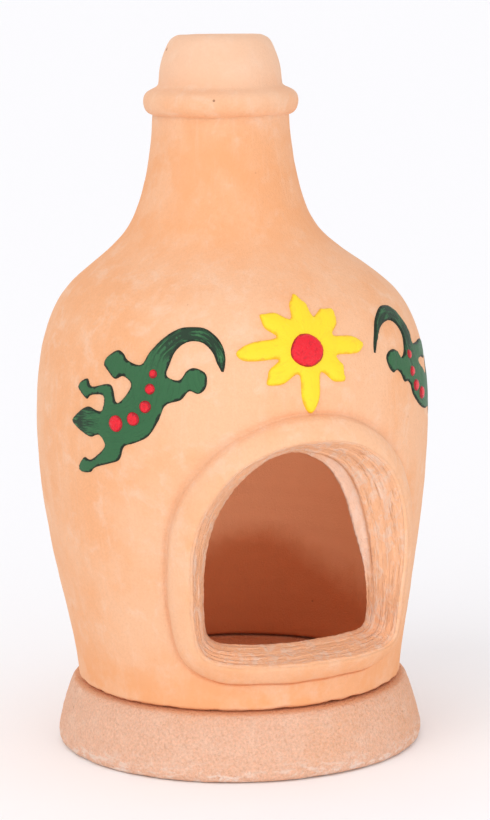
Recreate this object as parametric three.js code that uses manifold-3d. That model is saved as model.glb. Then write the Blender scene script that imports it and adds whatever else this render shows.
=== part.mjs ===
// A small hand-made clay chiminea: an open-bottomed pot standing loose on a round base.
// Millimetres, Z up. The base's underside is z = 0 and the mouth faces -Y.
import * as THREE from 'three';
import Module from 'manifold-3d';

const wasm = await Module();
wasm.setup();

const gap = 0.3;
const wall = 6;
const turnSteps = 60;

// The base, a thick round slab.
const baseRadius = 47;
const baseTopRadius = 42;
const baseHeight = 16.6;
const baseEdgeRound = 2;

// The pot, as curves of radius and height from its foot to the neck.
const footHeight = baseHeight + gap;
const footRadius = 41.5;
const bellyRadius = 49.7;
const bellyHeight = 84;
const shoulderRadius = 25;
const shoulderHeight = 130.6;
const neckRadius = 17;
const neckHeight = 160;

// The stub above the neck and the flue hole down through it.
const potHeight = 180;
const stubRadius = 15.5;
const stubFoot = 168.6;
const stubTopRadius = 12.6;
const lipRadius = 2.2;
const flueRadius = 8;

// The clay ring round the neck.
const collarRadius = 19.4;
const collarHeight = 164;
const collarHalfHeight = 4;

// How far the hand-made pot leans to its left.
const bellyLean = 1.2;
const neckLean = 2.1;

// The mouth. Each outline has a half width along the belly, a centre height and its reach up and down.
const angleRadius = 48;
const innerEdge = { half: 29, centre: 46, up: 35, down: 14.3, archPower: 2.2, sillPower: 7 };
const outerEdge = { half: 29, centre: 47, up: 37.7, down: 17, archPower: 2.2, sillPower: 7 };
const bandEdge = { half: 36.4, centre: 50, up: 41, down: 26.2, archPower: 2, sillPower: 5 };
const ledgeCut = 0.272;
const ledgeAngle = 37;
const ledgeSpread = 56;
const ledgePower = 1.3;
const bandHeight = 4;
const mouthSteps = 64;

// Raised paint: the sun, its centre and the two geckos with their spots.
const sunHeight = 106;
const sunThickness = 1.1;
const centreRadius = 3.95;
const centreThickness = 2.3;
const geckoThickness = 0.9;
const figureStep = 1.8;
const spotThickness = 0.7;

// The sun's ray tips and the valleys between them, as [across, up] from its middle.
const sunTips = [
  [1.8, 12.8],
  [10.6, 9],
  [16.9, 0.3],
  [9.6, -7.5],
  [0, -14.2],
  [-9.6, -7.2],
  [-16.9, 0.2],
  [-10.2, 8.7],
];
const sunValleys = [
  [4.2, 7.8],
  [8.2, 3.3],
  [8, -1.6],
  [3, -5],
  [-2.7, -5.1],
  [-7.3, -1.6],
  [-7.2, 3.6],
  [-2.5, 7.6],
];

// The geckos, as [distance round the belly from the mouth's middle, height, half width].
const leftSpine = [
  [-62, 87.8, 0.8],
  [-59.5, 88, 2.7],
  [-56, 88.4, 3.8],
  [-52.4, 88.3, 3.1],
  [-47, 88.9, 4.8],
  [-42.2, 91.3, 5.3],
  [-39, 96, 4.8],
  [-37.6, 101.2, 3.6],
  [-35.8, 105.9, 2.8],
  [-31.3, 109.9, 1.9],
  [-26.2, 110.5, 1.7],
  [-22.4, 107.8, 1.5],
  [-20.8, 102, 0.6],
];
const leftLegs = [
  [[-49, 90.5, 2.4], [-50.2, 95.5, 1.9], [-54.5, 95.9, 1.3], [-57.4, 96.9, 1.8], [-60, 97, 0.8]],
  [[-48.4, 86, 3.2], [-48.9, 81.2, 2.5], [-53.4, 78.5, 1.4], [-57.2, 77.5, 1.9], [-60, 76, 0.8]],
  [[-41, 99.5, 3], [-45, 101.9, 1.8], [-48.8, 102.9, 3], [-52, 102.6, 1]],
  [[-36.5, 97, 3.2], [-31.2, 97.6, 2.3], [-27.4, 99.8, 3], [-24.6, 99.8, 1]],
];
const leftSpots = [
  [-47.3, 88.8, 2],
  [-42.3, 90.4, 1.65],
  [-39.4, 93.6, 1.45],
  [-38.2, 97.6, 1.25],
  [-37.6, 101.3, 1.05],
];
const rightSpine = [
  [71, 90.5, 0.8],
  [67.6, 91, 2.2],
  [63.4, 91.4, 3.2],
  [58.5, 91.1, 2.9],
  [52.5, 90.7, 4.3],
  [46, 91.8, 4.6],
  [40.6, 95.3, 4.6],
  [38, 99.5, 3.8],
  [37, 104.5, 2.6],
  [36.2, 109, 2.1],
  [33, 112.1, 1.8],
  [28, 112.2, 1.6],
  [23.8, 109.6, 1.4],
  [20.8, 103.9, 0.6],
];
const rightLegs = [
  [[55, 92.5, 2.2], [56.5, 97, 1.8], [62, 97.7, 1.3], [65.2, 98.6, 1.6], [68, 98.4, 0.8]],
  [[54.5, 88.6, 2.6], [57.5, 85, 2.2], [62.4, 82.5, 1.3], [66, 81.5, 1.7], [68.6, 80.4, 0.8]],
  [[40.5, 101.8, 2.6], [46, 101.5, 1.9], [51, 101.2, 2.5], [54.2, 101.2, 1]],
  [[36.5, 98, 3.2], [32.5, 98.2, 2.4], [29.5, 100, 1.7], [27.2, 101.2, 2.6], [25.4, 101.2, 1.3]],
];
const rightSpots = [
  [58.5, 90.4, 1.9],
  [40.8, 91.4, 1.6],
  [37.2, 93.8, 1.5],
  [35.5, 97.5, 1.3],
  [35.2, 101.7, 1.1],
];

function makePaint(colour, roughness) {
  return new THREE.MeshStandardMaterial({ color: colour, roughness, metalness: 0 });
}

function curve(a, b, c, d) {
  const points = [a, b, c, d].map(([x, y]) => new THREE.Vector2(x, y));
  return new THREE.CubicBezierCurve(...points);
}

const bellyCurve = curve(
  [footRadius, footHeight],
  [footRadius, 26],
  [bellyRadius, 57],
  [bellyRadius, bellyHeight],
);
const shoulderCurve = curve(
  [bellyRadius, bellyHeight],
  [bellyRadius, 120.6],
  [35.6, 118.5],
  [shoulderRadius, shoulderHeight],
);
const neckCurve = curve(
  [shoulderRadius, shoulderHeight],
  [20.5, 135.8],
  [17.6, 148],
  [neckRadius, neckHeight],
);
const outside = [
  ...bellyCurve.getPoints(8).slice(0, -1),
  ...shoulderCurve.getPoints(11).slice(0, -1),
  ...neckCurve.getPoints(6),
];

// The pot's outer radius at a height, read off the same straight facets as the pot itself.
function radiusAt(z) {
  for (let i = 1; i < outside.length; i += 1) {
    if (z <= outside[i].y || i === outside.length - 1) {
      const share = (z - outside[i - 1].y) / (outside[i].y - outside[i - 1].y);
      return THREE.MathUtils.lerp(outside[i - 1].x, outside[i].x, share);
    }
  }
  return neckRadius;
}

function leanAt(z) {
  const belly = THREE.MathUtils.smoothstep(z, footHeight, 70);
  const neck = THREE.MathUtils.smoothstep(z, 105, 138);
  return -bellyLean * belly - neckLean * neck;
}

// A point over the pot's skin, at a distance round from the mouth's middle and a lift off the clay.
function skinPoint(along, z, lift) {
  const angle = along / angleRadius;
  const slope = (radiusAt(z + 2) - radiusAt(z - 2)) / 4;
  const size = Math.hypot(1, slope);
  const radius = radiusAt(z) + lift / size;
  const height = z - (lift * slope) / size;
  const x = radius * Math.sin(angle) + leanAt(height);
  return new THREE.Vector3(x, -radius * Math.cos(angle), height);
}

// Turns a closed mesh outwards if its corners run the wrong way.
function faceOut(geometry) {
  const position = geometry.getAttribute('position');
  const index = geometry.getIndex();
  const corner = [0, 1, 2].map(() => new THREE.Vector3());
  let volume = 0;
  for (let i = 0; i < index.count; i += 3) {
    corner.forEach((point, k) => point.fromBufferAttribute(position, index.getX(i + k)));
    volume += corner[0].dot(corner[1].clone().cross(corner[2]));
  }
  if (volume < 0) {
    for (let i = 0; i < index.count; i += 3) {
      const first = index.getX(i);
      index.setX(i, index.getX(i + 1));
      index.setX(i + 1, first);
    }
  }
  geometry.computeVertexNormals();
  return geometry;
}

function meshFrom(points, faces) {
  const geometry = new THREE.BufferGeometry().setFromPoints(points);
  geometry.setIndex(faces);
  return faceOut(geometry);
}

// Closed rows of points joined one to the next, round into a ring.
function ringOf(rows) {
  const around = rows[0].length;
  const points = rows.flat();
  const faces = [];
  for (let i = 0; i < rows.length; i += 1) {
    for (let j = 0; j < around; j += 1) {
      const a = i * around + j;
      const b = i * around + ((j + 1) % around);
      const c = ((i + 1) % rows.length) * around + j;
      const d = ((i + 1) % rows.length) * around + ((j + 1) % around);
      faces.push(a, c, b, b, c, d);
    }
  }
  return meshFrom(points, faces);
}

// A closed section of [radius, height] points turned about the pot's own leaning axis.
function turned(section, steps) {
  const rows = [];
  for (let i = 0; i < steps; i += 1) {
    const angle = (i * 2 * Math.PI) / steps;
    rows.push(section.map(([radius, z]) => (
      new THREE.Vector3(radius * Math.sin(angle) + leanAt(z), -radius * Math.cos(angle), z)
    )));
  }
  return ringOf(rows);
}

function toSolid(geometry) {
  const vertProperties = new Float32Array(geometry.getAttribute('position').array);
  const triVerts = new Uint32Array(geometry.getIndex().array);
  return new wasm.Manifold(new wasm.Mesh({ numProp: 3, vertProperties, triVerts }));
}

function fromSolid(solid) {
  const mesh = solid.getMesh();
  const geometry = new THREE.BufferGeometry();
  geometry.setAttribute('position', new THREE.BufferAttribute(mesh.vertProperties, 3));
  geometry.setIndex(new THREE.BufferAttribute(mesh.triVerts, 1));
  geometry.computeVertexNormals();
  return geometry;
}

function named(name, geometry, material) {
  const mesh = new THREE.Mesh(geometry, material);
  mesh.name = name;
  return mesh;
}

function makeBase(material) {
  const section = [
    [0, 0],
    [baseRadius - baseEdgeRound, 0],
    [baseRadius - baseEdgeRound * 0.3, baseEdgeRound * 0.3],
    [baseRadius, baseEdgeRound],
    [46.6, 4],
    [45.8, 7],
    [44.3, 10.5],
    [43, 13.4],
    [baseTopRadius, baseHeight - 0.8],
    [baseTopRadius - 0.8, baseHeight],
    [0, baseHeight],
  ].map(([radius, z]) => new THREE.Vector2(radius, z));
  const geometry = new THREE.LatheGeometry(section, turnSteps);
  geometry.rotateX(Math.PI / 2);
  geometry.deleteAttribute('normal');
  geometry.deleteAttribute('uv');
  return named('base_slab', geometry, material);
}

// The wall's inner face: the outer curves moved in by the wall's thickness, then the flue.
function insideSection() {
  const points = [];
  const curves = [[bellyCurve, 6], [shoulderCurve, 9], [neckCurve, 5]];
  curves.forEach(([line, steps], order) => {
    for (let i = order === 0 ? 0 : 1; i <= steps; i += 1) {
      const at = line.getPoint(i / steps);
      const along = line.getTangent(i / steps);
      points.push([at.x - wall * along.y, at.y + wall * along.x]);
    }
  });
  points[0] = [footRadius - wall, footHeight];
  points.push([flueRadius + 0.6, stubFoot]);
  points.push([flueRadius, potHeight - lipRadius * 2]);
  return points;
}

function lipSection() {
  const middle = (stubTopRadius + flueRadius) / 2;
  const reach = (stubTopRadius - flueRadius) / 2;
  return [0, 30, 60, 90, 120, 150].map((degrees) => {
    const angle = THREE.MathUtils.degToRad(degrees);
    return [middle + reach * Math.cos(angle), potHeight - lipRadius * (1 - Math.sin(angle))];
  });
}

function potSection() {
  const stub = [
    [stubRadius + 0.6, collarHeight],
    [stubRadius, stubFoot],
    [15, 171.5],
    [14, 175],
  ];
  const outer = outside.map((point) => [point.x, point.y]);
  return [...outer, ...stub, ...lipSection(), ...insideSection().reverse()];
}

// An outline's point at an angle round its centre, square at the sill and arched above.
function edgePoint(edge, angle) {
  const rise = Math.sin(angle);
  const reach = rise > 0 ? edge.up : edge.down;
  const power = rise > 0 ? edge.archPower : edge.sillPower;
  const across = Math.abs(Math.cos(angle) / edge.half) ** power;
  const upright = Math.abs(rise / reach) ** power;
  const radius = (across + upright) ** (-1 / power);
  return [radius * Math.cos(angle), edge.centre + radius * rise];
}

// The mouth's edge part way through the wall: 0 at its inner face, 1 at the raised band's front.
function revealPoint(share, angle) {
  const inner = edgePoint(innerEdge, angle);
  const outer = edgePoint(outerEdge, angle);
  const off = (THREE.MathUtils.radToDeg(angle) - ledgeAngle) / ledgeSpread;
  const cut = Math.abs(off) < 1 ? ledgeCut * Math.cos((off * Math.PI) / 2) ** ledgePower : 0;
  inner[0] *= 1 - cut;
  inner[1] = innerEdge.centre + (inner[1] - innerEdge.centre) * (1 - cut);
  return inner.map((value, k) => THREE.MathUtils.lerp(value, outer[k], share));
}

function mouthAngles() {
  return Array.from({ length: mouthSteps }, (_, i) => ((i + 0.5) * 2 * Math.PI) / mouthSteps - Math.PI);
}

function makeMouthTool() {
  const rings = [-wall - 4, bandHeight + 3].map((lift) => {
    const share = (lift + wall) / (wall + bandHeight);
    return mouthAngles().map((angle) => skinPoint(...revealPoint(share, angle), lift));
  });
  const middle = [-wall - 4, bandHeight + 3].map((lift) => skinPoint(0, innerEdge.centre + 8, lift));
  const points = [...rings[0], ...rings[1], ...middle];
  const count = mouthSteps;
  const faces = [];
  for (let i = 0; i < count; i += 1) {
    const next = (i + 1) % count;
    faces.push(i, next, count + i, next, count + next, count + i);
    faces.push(next, i, 2 * count, count + i, count + next, 2 * count + 1);
  }
  return meshFrom(points, faces);
}

function makePot(material) {
  const shell = toSolid(turned(potSection(), turnSteps));
  const cut = shell.subtract(toSolid(makeMouthTool()));
  return named('pot_shell', fromSolid(cut), material);
}

function makeCollar(material) {
  const section = [];
  for (let degrees = -80; degrees <= 80; degrees += 32) {
    const angle = THREE.MathUtils.degToRad(degrees);
    const reach = collarRadius - neckRadius - gap;
    section.push([
      neckRadius + gap + reach * Math.cos(angle),
      collarHeight + collarHalfHeight * Math.sin(angle),
    ]);
  }
  section.push([stubRadius + gap + 0.2, collarHeight + collarHalfHeight * 0.9]);
  section.push([stubRadius + gap + 0.7, collarHeight]);
  section.push([neckRadius + gap, neckHeight]);
  return named('neck_collar', turned(section, turnSteps), material);
}

function makeMouthBand(material) {
  const rows = mouthAngles().map((angle) => {
    const front = revealPoint(1, angle);
    const foot = revealPoint((gap + wall) / (bandHeight + wall), angle);
    const side = revealPoint((0.8 * bandHeight + wall) / (bandHeight + wall), angle);
    const rim = edgePoint(bandEdge, angle);
    const across = (share) => front.map((value, k) => THREE.MathUtils.lerp(value, rim[k], share));
    return [
      skinPoint(...foot, gap),
      skinPoint(...side, 0.8 * bandHeight),
      skinPoint(...across(0.14), bandHeight),
      skinPoint(...across(0.5), 0.93 * bandHeight),
      skinPoint(...across(0.82), 0.6 * bandHeight),
      skinPoint(...rim, gap),
      skinPoint(...across(0.45), gap),
    ];
  });
  return named('mouth_band', ringOf(rows), material);
}

// The strokes' centre lines, smoothed, as [across, height, half width] points.
function smoothLine(line) {
  const path = new THREE.CatmullRomCurve3(line.map((point) => new THREE.Vector3(...point)));
  return path.getPoints(4 * (line.length - 1));
}

// How far inside the strokes a flat point lies, in millimetres. It is negative outside them.
function depthIn(lines, x, y) {
  let depth = -Infinity;
  lines.forEach((line) => {
    for (let i = 1; i < line.length; i += 1) {
      const [from, to] = [line[i - 1], line[i]];
      const across = [to.x - from.x, to.y - from.y];
      const share = ((x - from.x) * across[0] + (y - from.y) * across[1]) / (across[0] ** 2 + across[1] ** 2);
      const t = THREE.MathUtils.clamp(share, 0, 1);
      const away = Math.hypot(x - from.x - t * across[0], y - from.y - t * across[1]);
      depth = Math.max(depth, THREE.MathUtils.lerp(from.z, to.z, t) - away);
    }
  });
  return depth;
}

// A painted figure of joined strokes. A flat grid is trimmed to the strokes' edges, laid over the pot's skin
// and closed with an underside and a low wall round its rim.
function paintedFigure(lines, thickness) {
  const flat = [];
  const ids = new Map();
  const upper = [];
  const middles = lines.flat().map((point) => new THREE.Vector2(point.x, point.y));
  const reach = new THREE.Box2().setFromPoints(middles);
  reach.expandByScalar(8);
  const corner = (i, j) => {
    const x = reach.min.x + figureStep * (i + (j % 2) / 2);
    const y = reach.min.y + figureStep * 0.87 * j;
    return { key: `${i},${j}`, x, y, depth: depthIn(lines, x, y) };
  };
  const idOf = (key, x, y) => {
    if (!ids.has(key)) {
      ids.set(key, flat.length);
      flat.push([x, y]);
    }
    return ids.get(key);
  };
  const crossing = (a, b) => {
    const [low, high] = a.key < b.key ? [a, b] : [b, a];
    const t = THREE.MathUtils.clamp(low.depth / (low.depth - high.depth), 0.2, 0.8);
    return idOf(`${low.key}|${high.key}`, low.x + t * (high.x - low.x), low.y + t * (high.y - low.y));
  };
  const trim = (corners) => {
    const ring = [];
    corners.forEach((a, k) => {
      const b = corners[(k + 1) % 3];
      if (a.depth > 0) {
        ring.push(idOf(a.key, a.x, a.y));
      }
      if (a.depth > 0 !== b.depth > 0) {
        ring.push(crossing(a, b));
      }
    });
    for (let k = 2; k < ring.length; k += 1) {
      upper.push([ring[0], ring[k - 1], ring[k]]);
    }
  };
  const columns = Math.ceil((reach.max.x - reach.min.x) / figureStep);
  const rows = Math.ceil((reach.max.y - reach.min.y) / (figureStep * 0.87));
  for (let j = 0; j < rows; j += 1) {
    for (let i = 0; i < columns; i += 1) {
      const square = [corner(i, j), corner(i + 1, j), corner(i, j + 1), corner(i + 1, j + 1)];
      const [a, b, c, d] = square;
      (j % 2 ? [[a, b, d], [a, d, c]] : [[a, b, c], [b, d, c]]).forEach(trim);
    }
  }
  const count = flat.length;
  const top = flat.map(([x, y]) => {
    const full = Math.min(1, 0.45 + Math.max(0, depthIn(lines, x, y)) / 2.4);
    return skinPoint(x, y, gap + thickness * full);
  });
  const under = flat.map(([x, y]) => skinPoint(x, y, gap));
  const edges = new Set(upper.flatMap(([a, b, c]) => [`${a},${b}`, `${b},${c}`, `${c},${a}`]));
  const faces = upper.flatMap(([a, b, c]) => [a, b, c, count + b, count + a, count + c]);
  edges.forEach((edge) => {
    const [a, b] = edge.split(',').map(Number);
    if (!edges.has(`${b},${a}`)) {
      faces.push(b, a, count + a, b, count + a, count + b);
    }
  });
  return meshFrom([...top, ...under], faces);
}

function makeGecko(name, strokes, material) {
  return named(name, paintedFigure(strokes.map(smoothLine), geckoThickness), material);
}

// A low round dome of paint over the skin, between two lifts.
function dome(along, z, radius, low, high) {
  const around = 10;
  const rings = [[1, low], [1, low + 0.3 * (high - low)], [0.75, low + 0.8 * (high - low)]];
  const points = [skinPoint(along, z, low)];
  rings.forEach(([share, lift]) => {
    for (let i = 0; i < around; i += 1) {
      const angle = (i * 2 * Math.PI) / around;
      const across = radius * share * Math.cos(angle);
      points.push(skinPoint(along + across, z + radius * share * Math.sin(angle), lift));
    }
  });
  points.push(skinPoint(along, z, high));
  const faces = [];
  for (let i = 0; i < around; i += 1) {
    const next = (i + 1) % around;
    faces.push(0, 1 + i, 1 + next);
    for (let ring = 0; ring < rings.length - 1; ring += 1) {
      const a = 1 + ring * around;
      const b = a + around;
      faces.push(a + i, b + i, a + next, a + next, b + i, b + next);
    }
    const top = 1 + (rings.length - 1) * around;
    faces.push(top + next, top + i, points.length - 1);
  }
  return meshFrom(points, faces);
}

function makeSpots(prefix, spots, material) {
  const low = gap + geckoThickness + gap;
  return spots.map(([along, z, radius], i) => {
    const geometry = dome(along, z, radius, low, low + spotThickness);
    return named(`${prefix}_spot_${i + 1}`, geometry, material);
  });
}

// The sun's outline, eight pointed rays round its centre from straight up, clockwise.
function sunOutline() {
  return sunTips.flatMap((tip, i) => {
    const valley = sunValleys[i];
    const nextTip = sunTips[(i + 1) % sunTips.length];
    const toward = (a, b) => a.map((value, k) => (value + b[k]) / 2);
    return [tip, toward(tip, valley), valley, toward(valley, nextTip)];
  });
}

function makeSun(material) {
  const outline = sunOutline();
  const count = outline.length;
  const under = [0.25, 0.5, 0.75, 1].map((share) => [share, gap]);
  const over = [[1, 0.5], [0.94, 0.85], [0.7, 1], [0.35, 1]];
  const rings = [...under, ...over.map(([share, part]) => [share, gap + part * sunThickness])];
  const points = [skinPoint(0, sunHeight, gap)];
  rings.forEach(([share, lift]) => {
    outline.forEach(([x, z]) => points.push(skinPoint(x * share, sunHeight + z * share, lift)));
  });
  points.push(skinPoint(0, sunHeight, gap + sunThickness));
  const faces = [];
  for (let i = 0; i < count; i += 1) {
    const next = (i + 1) % count;
    faces.push(0, 1 + i, 1 + next);
    for (let ring = 0; ring < rings.length - 1; ring += 1) {
      const a = 1 + ring * count;
      const b = a + count;
      faces.push(a + i, b + i, a + next, a + next, b + i, b + next);
    }
    const top = 1 + (rings.length - 1) * count;
    faces.push(top + next, top + i, points.length - 1);
  }
  return named('sun_rays', meshFrom(points, faces), material);
}

function makeSunCentre(material) {
  const low = gap + sunThickness + gap;
  return named('sun_centre', dome(0, sunHeight, centreRadius, low, low + centreThickness), material);
}

const terracotta = makePaint(0xd9a27e, 0.9);
const sandyClay = makePaint(0xcf9e84, 0.95);
const green = makePaint(0x2e7a3c, 0.6);
const yellow = makePaint(0xf2c82b, 0.6);
const red = makePaint(0xb01c22, 0.3);

const group = new THREE.Group();
group.add(makeBase(sandyClay));
group.add(makePot(terracotta));
group.add(makeCollar(terracotta));
group.add(makeMouthBand(terracotta));
group.add(makeSun(yellow));
group.add(makeSunCentre(red));
group.add(makeGecko('gecko_left', [leftSpine, ...leftLegs], green));
group.add(makeGecko('gecko_right', [rightSpine, ...rightLegs], green));
group.add(...makeSpots('gecko_left', leftSpots, red));
group.add(...makeSpots('gecko_right', rightSpots, red));

export default group;
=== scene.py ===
import math
import bpy
import numpy as np
from mathutils import Matrix, Vector, noise
from mathutils.geometry import delaunay_2d_cdt


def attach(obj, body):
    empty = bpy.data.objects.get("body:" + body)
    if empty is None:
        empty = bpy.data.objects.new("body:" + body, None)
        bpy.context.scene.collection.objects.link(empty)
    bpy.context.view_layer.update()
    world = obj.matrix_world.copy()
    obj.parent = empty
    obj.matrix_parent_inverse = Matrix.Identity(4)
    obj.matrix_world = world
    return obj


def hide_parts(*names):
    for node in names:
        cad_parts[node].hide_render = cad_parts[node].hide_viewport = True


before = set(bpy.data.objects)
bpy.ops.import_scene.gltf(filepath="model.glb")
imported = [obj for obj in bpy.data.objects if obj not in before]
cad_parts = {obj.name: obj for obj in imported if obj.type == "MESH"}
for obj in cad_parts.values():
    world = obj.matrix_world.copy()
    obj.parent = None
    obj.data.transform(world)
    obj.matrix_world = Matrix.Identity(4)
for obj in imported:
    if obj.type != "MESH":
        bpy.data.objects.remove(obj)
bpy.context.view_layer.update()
mm = 0.001
print("frame loaded:", len(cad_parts), "nodes")

# shape of the thrown pot, in mm: radius and height pairs, foot to stub
potShape = dict(
    belly=[(41.5, 16.9), (41.5, 26.0), (49.7, 57.0), (49.7, 84.0)],
    shoulder=[(49.7, 84.0), (49.7, 120.6), (35.6, 118.5), (25.0, 130.6)],
    neck=[(25.0, 130.6), (20.5, 135.8), (17.6, 148.0), (17.1, 160.2)],
    ring=[(17.1, 160.2), (17.65, 160.4), (18.45, 160.9), (19.05, 161.7), (19.38, 162.8), (19.42, 163.9),
          (19.15, 165.0), (18.45, 165.9), (17.4, 166.5), (16.3, 167.0), (15.65, 167.7), (15.45, 169.0)],
    stub=[(15.45, 169.0), (15.15, 171.6), (14.5, 174.1), (13.65, 176.4), (12.95, 177.9), (12.2, 178.9),
          (11.1, 179.6), (10.1, 179.9), (9.1, 179.6), (8.4, 178.7), (8.05, 177.2), (8.0, 174.0)],
    flue=[(8.0, 174.0), (8.1, 170.6), (8.9, 167.4), (10.3, 163.6), (11.0, 160.2)],
    wall=6.0, innerTop=159.5, rowStep=1.0, ringStep=0.42, columns=320, bellyTurn=48.0,
    footHeight=16.9, footIn=35.6, footMiddle=38.5, innerChamfer=(1.2, 0.5), outerChamfer=(0.9, 0.6),
    chipZone=(17.2, 19.0), outerFoot=(39.5, 41.0), lowest=16.86,
    leans=[(1.2, 16.9, 70.0), (2.1, 105.0, 138.0)],  # how far left, from one height to another
    creases=[(1.0, 160.4, 1.3), (0.6, 167.3, 1.5)],  # beside the collar: depth, height and width
    # pits, shown only as painted shade: degrees round the pot, height, distance from the axis and radius
    pits=[(-26.9, 164.4, 19.3, 0.42), (-24.3, 147.2, 18.1, 0.25), (-30.9, 134.0, 23.2, 0.34),
          (-97.0, 176.5, 13.7, 0.6), (-52.0, 118.0, 40.6, 0.4), (-38.0, 44.0, 45.6, 0.3)],
)

# outlines of the mouth in mm: half width along the belly, centre height, reach up and down, corner powers
mouthShape = dict(
    innerEdge=dict(half=29.0, centre=46.0, up=35.0, down=14.3, archPower=2.2, sillPower=9.0, rightPower=16.0),
    frontEdge=dict(half=28.9, centre=47.0, up=37.7, down=17.0, archPower=2.2, sillPower=7.0, rightPower=11.0),
    bandEdge=dict(half=36.4, centre=50.0, up=41.0, down=26.3, archPower=2.0, sillPower=5.0, rightPower=5.0),
    ledgeCut=0.272, ledgeAngle=37.0, ledgeSpread=56.0, ledgePower=1.3,
    ledgeShare=[(0.0, 0.0), (0.1, 0.31), (0.13, 0.335), (0.2, 0.36), (1.0, 1.0)],
    ledgeSide=((-12, 12), (70, 92)), leftSide=((92, 122), (130, 215)), leftPull=2.3,  # sides in degrees
    grooves=(0.32, 0.52, 0.7, 0.87), grooveWidth=0.028, strokeAcross=9.0, strokeRound=1.6,
    patchColumns=52, patchLow=19.6, patchHigh=106.0, ledgeWide=(0.13, 0.17), stepPlace=0.165, stepWide=0.035,
    uneven=dict(innerEdge=(0.006, 0.006), frontEdge=(0.012, 0.0), bandEdge=(0.015, 0.0)),  # slow and fine
    bandRise=[(0.0, -0.45), (0.03, -0.3), (0.07, 0.7), (0.18, 2.0), (0.4, 3.0), (0.62, 3.6), (0.8, 4.0),
              (0.91, 4.0), (0.965, 3.75), (1.0, 3.1)],
)


def bezier(a, b, c, d, count=80):
    t = np.linspace(0, 1, count)[:, None]
    a, b, c, d = (np.array(p, float) for p in (a, b, c, d))
    return (1 - t) ** 3 * a + 3 * (1 - t) ** 2 * t * b + 3 * (1 - t) * t * t * c + t ** 3 * d


# a smooth curve between the middle two of each four points in a row
def curveBetween(points, per):
    t = np.linspace(0, 1, per, endpoint=False)[:, None]
    return [0.5 * (2 * b + (c - a) * t + (2 * a - 5 * b + 4 * c - d) * t ** 2
                   + (3 * b - a - 3 * c + d) * t ** 3)
            for a, b, c, d in zip(points, points[1:], points[2:], points[3:])]


def smoothThrough(points, per=12):
    p = np.array(points, float)
    p = np.vstack([2 * p[0] - p[1], p, 2 * p[-1] - p[-2]])
    return np.vstack(curveBetween(p, per) + [p[-2:-1]])


def closedSmooth(points, per=6):
    p = np.array(points, float)
    return np.vstack(curveBetween(np.vstack([p[-1:], p, p[:2]]), per))


def evenSteps(line, step):
    length = np.concatenate([[0], np.cumsum(np.linalg.norm(np.diff(line, axis=0), axis=1))])
    count = max(2, int(round(length[-1] / step)) + 1)
    at = np.linspace(0, length[-1], count)
    return np.column_stack([np.interp(at, length, line[:, k]) for k in range(line.shape[1])])


bellyLine = np.vstack([bezier(*potShape["belly"])[:-1], bezier(*potShape["shoulder"])[:-1],
                       bezier(*potShape["neck"])])


def smoothStep(value, low, high):
    t = np.clip((np.asarray(value, float) - low) / (high - low), 0, 1)
    return t * t * (3 - 2 * t)


# rises from 0 to 1 over the first pair of values and falls again over the second
def between(value, rise, fall):
    return smoothStep(value, *rise) * (1 - smoothStep(value, *fall))


def leanAt(z):
    return -sum(far * smoothStep(z, low, high) for far, low, high in potShape["leans"])


def radiusAt(z):
    return np.interp(z, bellyLine[:, 1], bellyLine[:, 0])


def slopeAt(z):
    return (radiusAt(z + 1) - radiusAt(z - 1)) / 2


# a point over the pot's skin: distance round from the mouth's middle, height, lift off the clay
def skinPoint(along, z, lift):
    along, z, lift = np.broadcast_arrays(*(np.asarray(value, float) for value in (along, z, lift)))
    slope = slopeAt(z)
    size = np.hypot(1, slope)
    radius = radiusAt(z) + lift / size
    height = z - lift * slope / size
    angle = along / potShape["bellyTurn"]
    return np.stack([radius * np.sin(angle) + leanAt(height), -radius * np.cos(angle), height], -1)


def addObject(name, data):
    made = bpy.data.objects.new(name, data)
    bpy.context.scene.collection.objects.link(made)
    return made


def makeMesh(name, points, faces, attributes=None, smooth=True):
    mesh = bpy.data.meshes.new(name)
    mesh.from_pydata([tuple(p) for p in np.asarray(points) * mm], [], faces)
    mesh.validate()
    for key, values in (attributes or {}).items():
        layer = mesh.attributes.new(key, "FLOAT", "POINT")
        layer.data.foreach_set("value", np.asarray(values, np.float32))
    mesh.polygons.foreach_set("use_smooth", [smooth] * len(mesh.polygons))
    mesh.update()
    return addObject(name, mesh)


def addVectors(piece, name, values):
    layer = piece.data.attributes.new(name, "FLOAT_VECTOR", "POINT")
    layer.data.foreach_set("vector", np.asarray(values, np.float32).ravel())


def readOut(values, key, width=1):
    flat = np.empty(len(values) * width, np.float32)
    values.foreach_get(key, flat)
    return flat.reshape(-1, width) if width > 1 else flat


def meshPoints(piece):
    return readOut(piece.data.vertices, "co", 3).astype(float) / mm


def meshNormals(piece):
    return readOut(piece.data.vertices, "normal", 3).astype(float)


def setPoints(piece, points):
    piece.data.vertices.foreach_set("co", (np.asarray(points) * mm).astype(np.float32).ravel())
    piece.data.update()


# smooth noise at each point, about -1 to 1, with features of the given size in mm
def lumps(points, size, seed, stretch=(1, 1, 1)):
    scaled = np.asarray(points) / size / np.array(stretch) + seed * 17.3
    return np.array([noise.noise(Vector(p)) for p in scaled])

# noise along a closed line, at each angle
def noiseRound(turn, size, seed):
    return np.array([noise.noise(Vector((math.cos(a) * size, math.sin(a) * size, seed))) for a in turn])


# noise over a flat drawing
def noiseOver(flat, size, seed):
    return np.array([noise.noise(Vector((x / size, y / size, seed))) for x, y in flat])


def edgePoint(edge, angle):
    rise = np.sin(angle)
    reach = np.where(rise > 0, edge["up"], edge["down"])
    corner = np.where(np.cos(angle) > 0, edge["rightPower"], edge["sillPower"])
    power = np.where(rise > 0, edge["archPower"], corner)
    size = (np.abs(np.cos(angle) / edge["half"]) ** power + np.abs(rise / reach) ** power) ** (-1 / power)
    return np.stack([size * np.cos(angle), edge["centre"] + size * rise], -1)


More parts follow.
